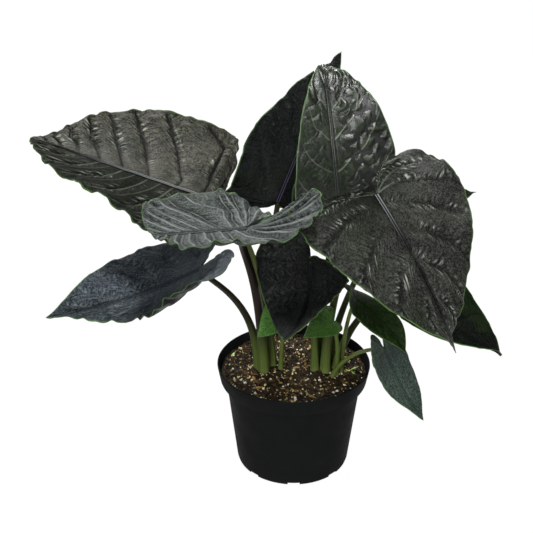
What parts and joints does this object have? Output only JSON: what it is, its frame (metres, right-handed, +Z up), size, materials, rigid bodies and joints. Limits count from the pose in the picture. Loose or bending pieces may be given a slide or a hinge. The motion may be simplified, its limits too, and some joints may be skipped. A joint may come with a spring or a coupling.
{
  "type": "potted alocasia plant",
  "caption": "House plant with dark, velvety, quilted heart-shaped leaves on arching stalks, growing in two clumps from soil in a round black plastic nursery pot.",
  "frame": {"origin": "centre of the pot's underside, on the surface it stands on", "axes": "+Z up through the pot's middle; the picture looks along +Y, with +X to its right"},
  "size_m": [0.4696, 0.3148, 0.3913],
  "materials": {
    "pot": "matte",
    "soil": "matte",
    "leaf": "satin",
    "young_leaf": "satin",
    "stalk": "satin"
  },
  "bodies": {
    "root": {"pot": "pot", "soil": "soil", "leaf_upper_left": "leaf", "stalk_upper_left": "stalk", "leaf_back": "leaf", "stalk_back": "stalk", "leaf_front": "leaf", "stalk_front": "stalk", "leaf_top": "leaf", "stalk_top": "stalk", "leaf_right": "leaf", "stalk_right": "stalk", "leaf_centre": "leaf", "stalk_centre": "stalk", "leaf_lower_left": "leaf", "stalk_lower_left": "stalk", "leaf_lower_right": "leaf", "stalk_lower_right": "stalk", "leaf_far_right": "leaf", "stalk_far_right": "stalk", "leaf_young_right": "young_leaf", "stalk_young_right": "stalk", "leaf_hanging_right": "young_leaf", "stalk_hanging_right": "stalk", "leaf_small_right": "young_leaf", "stalk_small_right": "stalk", "leaf_small_left": "young_leaf", "stalk_small_left": "stalk"}
  },
  "joints": []
}
